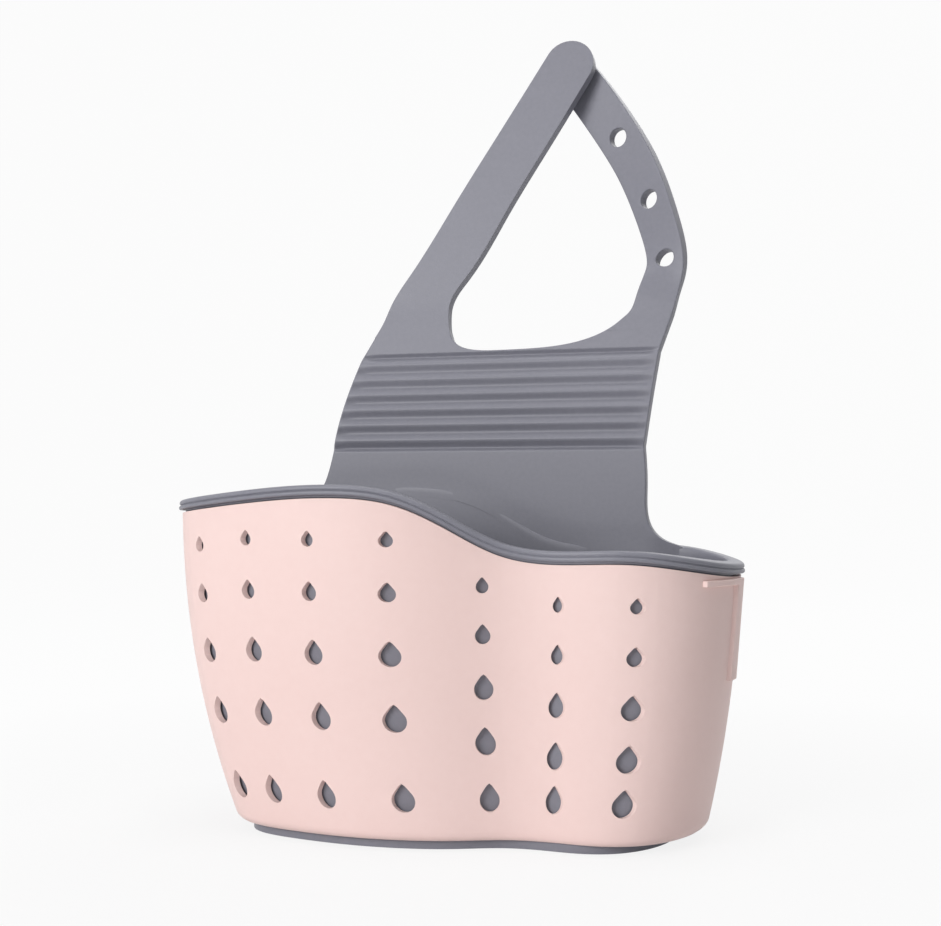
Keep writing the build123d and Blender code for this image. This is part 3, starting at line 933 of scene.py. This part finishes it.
# Loop: the yoke's U and both arms, cut where the arms start to bend
loop = {
    "floor": 1.7, "seat": 15.9,
    "leftOuter": 36.3, "leftInner": 15.4, "rightInner": 47.2, "rightOuter": 60.3,
    # the U's line: share of the opening's width, and share of the climb from its floor to its seat
    "shares": [
        (0.0, 1.0), (0.005, 0.62), (0.05, 0.2), (0.16, 0.02), (0.3, 0.0), (0.52, 0.03), (0.77, 0.23),
        (0.905, 0.55), (1.0, 1.0),
    ],
    "perSpan": 10, "cutRoom": 0.05,
    # the tips' middle, both tips' radius, and the snap holes
    "tipX": 21.7, "armRise": 18.0, "tipRise": 99.7, "leftTip": 8.4, "rightTip": 7.2,
    "hole": 6.2, "holeSides": 32,
}
loopWidth = loop["rightInner"] + loop["leftInner"]
loopFloor = hingeSeven + loop["floor"]
loopClimb = loop["seat"] - loop["floor"]
loopLine = [(-loop["leftInner"] + loopWidth * a, loopFloor + loopClimb * up) for a, up in loop["shares"]]
loopSteps = smoothCurve(loopLine, False, loop["perSpan"])


def outerEdges(h):
    # the loop's side edges at one height
    share = (h - hingeSeven) / loop["seat"]
    left = -panel["yokeLeft"] + (panel["yokeLeft"] - loop["leftOuter"]) * share
    right = panel["yokeRight"] + (loop["rightOuter"] - panel["yokeRight"]) * share
    return left, right


def innerEdges(h):
    # the loop's lower edge at one height: its left and its right side
    lowest = int(np.argmin(loopSteps[:, 1]))
    leftSide = loopSteps[: lowest + 1][::-1]
    rightSide = loopSteps[lowest:]
    left = float(np.interp(h, leftSide[:, 1], leftSide[:, 0]))
    right = float(np.interp(h, rightSide[:, 1], rightSide[:, 0]))
    return left, right


# the last rib's piece reaches past hinge seven, onto the loop's side edges
makePanel()
makeRibs()
print("panel and ribs made")


def bandEdges(bm, cuts):
    # a flat band's long hard edges, leaving those that lie on a cut
    found = []
    for e in hardEdges(bm):
        onCut = any(all(abs(v.co.y - cut) < meshing["onCut"] for v in e.verts) for cut in cuts)
        if not onCut and abs(e.verts[0].co.z - e.verts[1].co.z) < meshing["tiny"]:
            found.append(e)
    return found


def makeBand(outlines, cuts, bends, place):
    # a flat band with rounded edges, with extra edges where it bends, brought to its place
    bm = makePlate(outlines, strap["half"], -strap["half"])
    soften(bm, bandEdges(bm, cuts), strap["edgeRound"], strap["roundSteps"])
    for axis, places in bends:
        cutAcross(bm, axis, places)
    wrapPoints(bm, place)
    return bm


def makeYoke():
    low, high = strap["cutYoke"], strap["cutArm"]
    lowLeft, lowRight = strapEdges(low)
    outerLeft, outerRight = outerEdges(high)
    innerLeft, innerRight = innerEdges(high)
    inner = [tuple(p) for p in loopSteps if p[1] < high - loop["cutRoom"]]
    outline = [(lowLeft, low), (lowRight, low), (outerRight, high), (innerRight, high)]
    outline += inner[::-1] + [(innerLeft, high), (outerLeft, high)]
    bends = [(1, np.arange(low + strap["bendStep"], high, strap["bendStep"]))]
    bm = makeBand([outline], (low, high), bends, lambda co: strapPoint(*co))
    handOver(bm, "yoke_skin", "soft_grey", "yoke", "strap_yoke")


leftArm = {
    # heights at which the root still follows the loop's edges
    "outerFollows": [42.0],
    "innerFollows": [39.5, 42.5],
    # where the straight edges start: in from the loop's edge, and up from the arm's turn
    "outerStart": (0.4, 0.6),
    "innerStart": (0.1, 0.2),
    "shares": (0.12, 0.4, 0.7, 1.0),
    "perSpan": 8, "tipSteps": 24,
    # bends lie close together at the root and wider apart further up
    "closeTo": 62.0, "wideFrom": 64.0, "wideStep": 4.0, "pastTip": 8.0, "across": (-40.0, 30.0, 5.0),
}


def leftArmEdge(follows, start, end):
    # one side edge: along the loop's own edge at first, then straight to the tip
    points = follows + [start]
    for share in leftArm["shares"]:
        points.append(tuple(a + (b - a) * share for a, b in zip(start, end)))
    return [tuple(p) for p in smoothCurve(points, False, leftArm["perSpan"])]


def makeLeftArm():
    low, turn = strap["cutArm"], strap["armTurn"]
    tipX, tipHigh, r = loop["tipX"], hingeSeven + loop["tipRise"], loop["leftTip"]
    rootMiddle = -(loop["leftOuter"] + loop["leftInner"]) / 2
    slant = math.atan2(tipX - rootMiddle, tipHigh - turn)
    tip = []
    for k in range(1, leftArm["tipSteps"]):
        a = math.pi - slant - math.pi * k / leftArm["tipSteps"]
        tip.append((tipX + r * math.cos(a), tipHigh + r * math.sin(a)))
    leftEnd = (tipX - r * math.cos(slant), tipHigh + r * math.sin(slant))
    rightEnd = (tipX + r * math.cos(slant), tipHigh - r * math.sin(slant))
    outer = [(outerEdges(h)[0], h) for h in [low] + leftArm["outerFollows"]]
    inner = [(innerEdges(h)[0], h) for h in [low] + leftArm["innerFollows"]]
    (outerIn, outerUp), (innerIn, innerUp) = leftArm["outerStart"], leftArm["innerStart"]
    leftLine = leftArmEdge(outer, (-loop["leftOuter"] + outerIn, turn + outerUp), leftEnd)
    rightLine = leftArmEdge(inner, (-loop["leftInner"] + innerIn, turn + innerUp), rightEnd)
    outline = rightLine + tip[::-1] + leftLine[::-1]
    step = strap["bendStep"]
    bends = list(np.arange(low + step, leftArm["closeTo"], step))
    bends += list(np.arange(leftArm["wideFrom"], tipHigh + leftArm["pastTip"], leftArm["wideStep"]))
    bends = [(1, bends), (0, np.arange(*leftArm["across"]))]
    bm = makeBand([outline], (low,), bends, lambda co: strapPoint(*co, strap["leftLean"]))
    piece = handOver(bm, "left_arm_skin", "soft_grey", None, "left_arm")
    start, end = bendSpan(turn, strap["armBlend"])
    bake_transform(piece)


rightArm = {
    "rootX": 53.75, "width": 14.4, "bulge": 2.3, "rootLean": 19.0, "tipLean": 10.0, "turn": 21.0,
    # the middle line: shares of the climb, of the way across, of the bulge and of the turn
    "stations": [
        (0.0, 0.0, 0.0, 0.0), (0.13, 0.0, 0.95, 0.55), (0.3, 0.06, 0.7, 1.0), (0.45, 0.17, 0.27, 1.0),
        (0.59, 0.33, 0.2, 0.95), (0.72, 0.51, 0.0, 0.8), (0.86, 0.745, 0.0, 0.55), (1.0, 1.0, 0.0, 0.33),
    ],
    "turnScale": 10.0,  # weight of the turn beside the millimetres of the line
    "rootBelow": 4.0, "rootAbove": 5.0, "runOn": 0.8, "pathSteps": 40, "look": 0.6,
    "ease": 8.0,  # length over which the arm leaves the strap's line
    # side edges from the middle line: heights on the loop's edges, then places and heights
    "innerFollows": [39.0, 41.5, 44.0],
    "outerFollows": [41.0],
    "leftEdge": [(-6.5, 48.5), (-6.0, 54.0), (-6.4, 62.0)],
    "rightEdge": [(6.3, 46.0), (6.6, 52.0), (6.5, 60.0)],
    "fullHeight": 90.0, "perSpan": 6, "tipSteps": 20, "holes": [0.16, 0.42, 0.7],
    "firstBend": 1.0, "bendStep": 1.25, "pastTip": 7.0, "across": (-15.0, 7.0, 2.4),
}


def rightArmPath():
    # points along the right arm's middle with their turn, from below the cut to past the tip
    root = strapPoint(0, strap["armTurn"], 0)
    climbAll = (loop["tipRise"] - loop["armRise"]) * math.cos(math.radians(strap["lean"]))
    rootSlope, tipSlope = (math.tan(math.radians(rightArm[k])) for k in ("rootLean", "tipLean"))
    rows = []
    for offset in (-rightArm["rootBelow"], 0.0, rightArm["rootAbove"]):
        p = strapPoint(rightArm["rootX"], strap["cutArm"] + offset, 0)
        rows.append((p.x, p.y, p.z, 0.0))
    for climb, across, bulge, turned in rightArm["stations"]:
        rise = climbAll * climb
        back = rootSlope * rise - (rootSlope - tipSlope) * rise * climb / 2
        x = rightArm["rootX"] + (loop["tipX"] - rightArm["rootX"]) * across + rightArm["bulge"] * bulge
        rows.append((x, root.y + back, root.z + rise, turned * rightArm["turnScale"]))
    last, before = np.array(rows[-1]), np.array(rows[-2])
    rows.append(tuple(last + (last - before) * rightArm["runOn"]))
    return np.array(rows), root, climbAll


armRows, armRoot, armClimb = rightArmPath()
armSteps = smoothCurve(armRows, False, rightArm["pathSteps"])
armWalk = along(armSteps[:, :3])
armStart = float(armWalk[rightArm["pathSteps"]])


def armPath(walk):
    # place and turn of the right arm's middle line after some way along it
    return np.array([np.interp(walk, armWalk, armSteps[:, k]) for k in range(4)])


def armPoint(a, h, out):
    # a place on the right arm: across its middle line, along it, and out to its front
    walk = armStart + h - strap["cutArm"]
    here, ahead, behind = (armPath(walk + d) for d in (0, rightArm["look"], -rightArm["look"]))
    run = Vector(ahead[:3] - behind[:3]).normalized()
    turn = math.radians(rightArm["turn"] * here[3] / rightArm["turnScale"])
    facing = Vector((-math.sin(turn), -math.cos(turn), 0))
    facing = (facing - run * facing.dot(run)).normalized()
    across = run.cross(facing)
    if across.x < 0:
        across = -across
    p = Vector(here[:3]) + across * a + facing * out
    flat = strapPoint(rightArm["rootX"] + a, h, out)
    return flat.lerp(p, easeIn(h, strap["cutArm"], strap["cutArm"] + rightArm["ease"]))


def armHeight(climb):
    # how far along the strap one share of the right arm's climb lies
    z = armRoot.z + armClimb * climb
    return strap["cutArm"] + float(np.interp(z, armSteps[:, 2], armWalk)) - armStart


def makeRightArm():
    low, tipHigh = strap["cutArm"], armHeight(1.0)
    half, r, middle = rightArm["width"] / 2, loop["rightTip"], rightArm["rootX"]
    left = [(innerEdges(h)[1] - middle, h) for h in [low] + rightArm["innerFollows"]]
    left += rightArm["leftEdge"] + [(-half, rightArm["fullHeight"]), (-r, tipHigh)]
    right = [(outerEdges(h)[1] - middle, h) for h in [low] + rightArm["outerFollows"]]
    right += rightArm["rightEdge"] + [(half, rightArm["fullHeight"]), (r, tipHigh)]
    leftLine, rightLine = (smoothCurve(points, False, rightArm["perSpan"]) for points in (left, right))
    tip = []
    for k in range(1, rightArm["tipSteps"]):
        a = math.pi * k / rightArm["tipSteps"]
        tip.append((r * math.cos(a), tipHigh + r * math.sin(a)))
    outlines = [[tuple(p) for p in rightLine] + tip + [tuple(p) for p in leftLine[::-1]]]
    hole, turns = loop["hole"] / 2, [2 * math.pi * k / loop["holeSides"] for k in range(loop["holeSides"])]
    for climb in rightArm["holes"] + [1.0]:
        h = armHeight(climb)
        outlines.append([(hole * math.cos(a), h + hole * math.sin(a)) for a in turns])
    bends = np.arange(low + rightArm["firstBend"], tipHigh + rightArm["pastTip"], rightArm["bendStep"])
    bends = [(1, bends), (0, np.arange(*rightArm["across"]))]
    bm = makeBand(outlines, (low,), bends, lambda co: armPoint(*co))
    piece = handOver(bm, "right_arm_skin", "soft_grey", None, "right_arm")
    start, end = bendSpan(strap["armTurn"], strap["armBlend"])
    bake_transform(piece)


makeYoke()
makeLeftArm()
makeRightArm()
print("yoke and arms made")

# The stud keeps the CAD's shape and gets the liner's finish.
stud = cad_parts["snap_stud"]
stud.data.materials.clear()
stud.data.materials.append(finishes["soft_grey"])

# Studio, in metres: a pale floor that curves up into a backdrop, and lamps round the part
studio = {
    "half": 3.0, "front": -2.0, "back": 1.1, "curve": 0.8, "wall": 2.5, "across": 4, "steps": 60,
    "colour": (0.78, 0.78, 0.79, 1.0),
    "white": (1.0, 1.0, 1.0, 1.0),
    "lift": 0.955,
    # painted shade: the floor's own white dips near the part, so that its real shadow shows, and the floor
    # round the part is darker even where no shadow falls
    "paintedShadeScale": 3.0,
    "paintedShadeDip": 0.13,
    "room": 0.23,
    "far": 0.975,
    # each lamp: its place, what it looks at, its width and its power
    "lamps": {
        "key": ((-0.5, -1.12, 0.48), (0.0, 0.0, 0.1), 0.7, 10.0),
        "top": ((0.05, -0.05, 1.3), (0.0, 0.0, 0.1), 0.6, 5.0),
        "fill": ((0.95, -0.6, 0.45), (0.0, 0.0, 0.1), 0.9, 0.5),
        "back": ((0.2, 0.9, 0.8), (0.0, 0.0, 0.12), 0.7, 2.6),
    },
}


def stageMaterial():
    # a plain pale surface: mostly its own white to the camera, and clear from behind
    material = bpy.data.materials.new("paleSweep")
    paint = Paint(material)
    plain = paint.node("ShaderNodeBsdfDiffuse", {}, {"Color": studio["colour"]})
    glow = paint.node("ShaderNodeEmission", {}, {"Color": studio["white"], "Strength": 1.0})
    around = {0: paint.coords(), "Scale": studio["paintedShadeScale"]}
    spread = paint.node("ShaderNodeVectorMath", {"operation": "SCALE"}, around)
    near = paint.node("ShaderNodeTexGradient", {"gradient_type": "SPHERICAL"}, {"Vector": spread}, 1)
    # painted shade round the part: the floor's white is lowered near it, so the floor is darker there with
    # or without a shadow
    share = studio["lift"] - near * studio["paintedShadeDip"]
    mixed = paint.node("ShaderNodeMixShader", {}, {0: paint.seenRays() * share, 1: plain, 2: glow})
    behind = paint.node("ShaderNodeNewGeometry", {}, {}, "Backfacing")
    clear = paint.node("ShaderNodeBsdfTransparent", {}, {})
    shader = paint.node("ShaderNodeMixShader", {}, {0: behind, 1: mixed, 2: clear})
    paint.node("ShaderNodeOutputMaterial", {}, {0: shader})
    return material


def makeSweep():
    # the sheet's length runs along the floor, round the bend and up the backdrop
    bend = studio["curve"] * math.pi / 2
    run = studio["back"] - studio["front"]
    bm = freshGrid(studio["across"], studio["steps"])
    for v in bm.verts:
        walk = (v.co.y + 1) / 2 * (run + bend + studio["wall"])
        turn = min(math.pi / 2, max(0.0, walk - run) / studio["curve"])
        past = max(0.0, walk - run - bend)
        deep = studio["front"] + min(walk, run) + studio["curve"] * math.sin(turn)
        v.co = Vector((v.co.x * studio["half"], deep, studio["curve"] * (1 - math.cos(turn)) + past))
    sweep = addMesh(bm, "sweep", stageMaterial())


def makeWorld():
    # dim light from all round, and an almost white background to the camera
    world = bpy.data.worlds.new("studio")
    bpy.context.scene.world = world
    paint = Paint(world)
    room = paint.node("ShaderNodeBackground", {}, {0: studio["white"], 1: studio["room"]})
    far = paint.node("ShaderNodeBackground", {}, {0: studio["white"], 1: studio["far"]})
    mixed = paint.node("ShaderNodeMixShader", {}, {0: paint.seenRays(), 1: room, 2: far})
    paint.node("ShaderNodeOutputWorld", {}, {0: mixed})


def makeLamps():
    # round soft lamps, each turned to what it looks at
    for name, (place, aim, size, power) in studio["lamps"].items():
        lamp = bpy.data.lights.new(name, "AREA")
        lamp.shape = "DISK"
        lamp.size = size
        lamp.energy = power
        thing = addObject(name, lamp)
        thing.location = place
        thing.rotation_euler = (Vector(aim) - Vector(place)).to_track_quat("-Z", "Y").to_euler()


makeSweep()
makeWorld()
makeLamps()

# The camera that was fitted to the photo: pixels, degrees, and its place in millimetres
view = {
    "pixels": (941, 926),
    "focal": 1500.0,
    "turn": 18.0,
    "horizon": 490.0,
    "place": (144.155, -430.533, 103.05),
    "sensor": 36.0,
    "clip": (0.01, 20.0),
}


def makeCamera():
    # the horizon's line in the photo gives the camera's tilt
    lens = bpy.data.cameras.new("camera")
    lens.sensor_width = view["sensor"]
    lens.lens = view["focal"] / view["pixels"][0] * lens.sensor_width
    lens.clip_start, lens.clip_end = view["clip"]
    camera = addObject("camera", lens)
    pitch = math.atan((view["horizon"] - view["pixels"][1] / 2) / view["focal"])
    camera.location = Vector(view["place"]) * mm
    camera.rotation_euler = (math.pi / 2 + pitch, 0.0, math.radians(view["turn"]))
    bpy.context.scene.camera = camera


makeCamera()
bpy.context.scene.view_settings.view_transform = "Standard"
print("stage, lamps and camera made")
